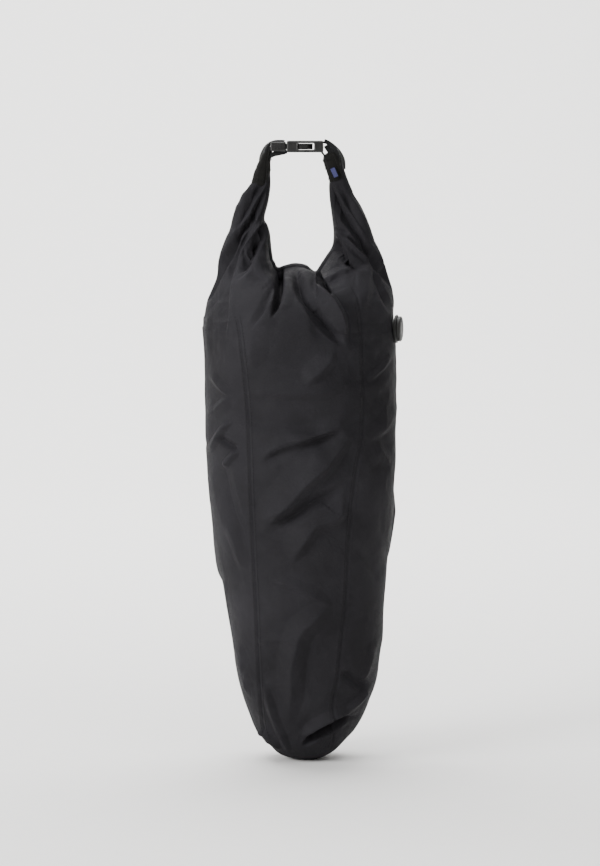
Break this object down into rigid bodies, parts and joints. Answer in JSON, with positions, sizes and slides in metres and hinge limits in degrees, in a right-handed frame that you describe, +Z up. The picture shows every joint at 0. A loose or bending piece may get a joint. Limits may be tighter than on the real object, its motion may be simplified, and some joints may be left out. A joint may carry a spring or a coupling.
{
  "type": "roll-top compression sack",
  "caption": "Tapered roll-top dry sack with a folded carry loop, a side-release buckle and a purge valve for pressing the air out.",
  "frame": {"origin": "centre of the object's bounding box at floor level, under the base panel", "axes": "+Z up along the sack, -Y towards the front panel, +X towards the side that holds the purge valve"},
  "size_m": [0.2001, 0.168, 0.6169],
  "materials": {
    "fabric": "fine plain-weave coated nylon, semi-matte with a soft sheen",
    "hem_fabric": "matte woven tape over coated nylon",
    "seam_tape": "heat-sealed translucent tape on the inside",
    "stiffener": "flat flexible strip",
    "webbing": "matte woven webbing",
    "thread": "tight bar-tack stitching",
    "tag": "plain woven label, no marking",
    "plastic": "moulded acetal with a light satin texture",
    "rubber": "matte silicone rubber"
  },
  "bodies": {
    "sack": {"front_panel": "fabric", "back_panel": "fabric", "left_panel": "fabric", "right_panel": "fabric", "base_panel": "fabric", "seam_tape_front_left": "seam_tape", "seam_tape_front_right": "seam_tape", "seam_tape_back_left": "seam_tape", "seam_tape_back_right": "seam_tape", "mouth_roll_center": "hem_fabric", "hem_stiffener_center": "stiffener", "valve_base": "plastic", "valve_gasket": "rubber", "valve_clamp_nut": "plastic"},
    "left_arm": {"mouth_roll_left": "hem_fabric", "hem_stiffener_left": "stiffener", "gusset_fold_left": "fabric", "webbing_tab_left": "webbing", "bar_tack_left": "thread"},
    "right_arm": {"mouth_roll_right": "hem_fabric", "hem_stiffener_right": "stiffener", "gusset_fold_right": "fabric", "webbing_tab_right": "webbing", "bar_tack_right": "thread", "side_tag": "tag"},
    "male_half": {"buckle_male": "plastic"},
    "front_prong": {"prong_front": "plastic"},
    "back_prong": {"prong_back": "plastic"},
    "female_half": {"buckle_female": "plastic"},
    "cap": {"valve_cap": "plastic"},
    "flap": {"valve_flap": "rubber"}
  },
  "joints": [
    {"name": "left_arm_swing", "type": "hinge", "parent": "sack", "child": "left_arm", "pos_m": [-0.038, 0, 0.494], "axis": [0, -1, 0], "range_deg": [0, 60], "deforming": ["gusset_fold_left"]},
    {"name": "right_arm_swing", "type": "hinge", "parent": "sack", "child": "right_arm", "pos_m": [0.027, 0, 0.494], "axis": [0, 1, 0], "range_deg": [0, 60], "deforming": ["gusset_fold_right"]},
    {"name": "male_swivel", "type": "hinge", "parent": "left_arm", "child": "male_half", "pos_m": [-0.0292, 0, 0.6112], "axis": [0, 1, 0], "range_deg": [0, 60], "deforming": ["webbing_tab_left"]},
    {"name": "female_swivel", "type": "hinge", "parent": "right_arm", "child": "female_half", "pos_m": [0.0182, 0, 0.6112], "axis": [0, -1, 0], "range_deg": [0, 60], "deforming": ["webbing_tab_right"]},
    {"name": "front_prong_squeeze", "type": "hinge", "parent": "male_half", "child": "front_prong", "pos_m": [-0.0163, -0.0079, 0.6112], "axis": [0, 0, 1], "range_deg": [0, 7], "stiffness_Nm_per_rad": 0.5},
    {"name": "back_prong_squeeze", "type": "hinge", "parent": "male_half", "child": "back_prong", "pos_m": [-0.0163, 0.0079, 0.6112], "axis": [0, 0, -1], "range_deg": [0, 7], "stiffness_Nm_per_rad": 0.5},
    {"name": "valve_cap_turn", "type": "hinge", "parent": "sack", "child": "cap", "pos_m": [0.0911, -0.0122, 0.432], "axis": [0.9848, -0.1736, 0], "range_deg": [0, 90]},
    {"name": "valve_flap_lift", "type": "slide", "parent": "sack", "child": "flap", "axis": [0.9848, -0.1736, 0], "range_m": [0, 0.0015], "stiffness_N_per_m": 25}
  ],
  "couplings": [
    {"joint": "right_arm_swing", "follows": "left_arm_swing", "ratio": 1},
    {"joint": "male_swivel", "follows": "left_arm_swing", "ratio": 1},
    {"joint": "female_swivel", "follows": "left_arm_swing", "ratio": 1}
  ]
}
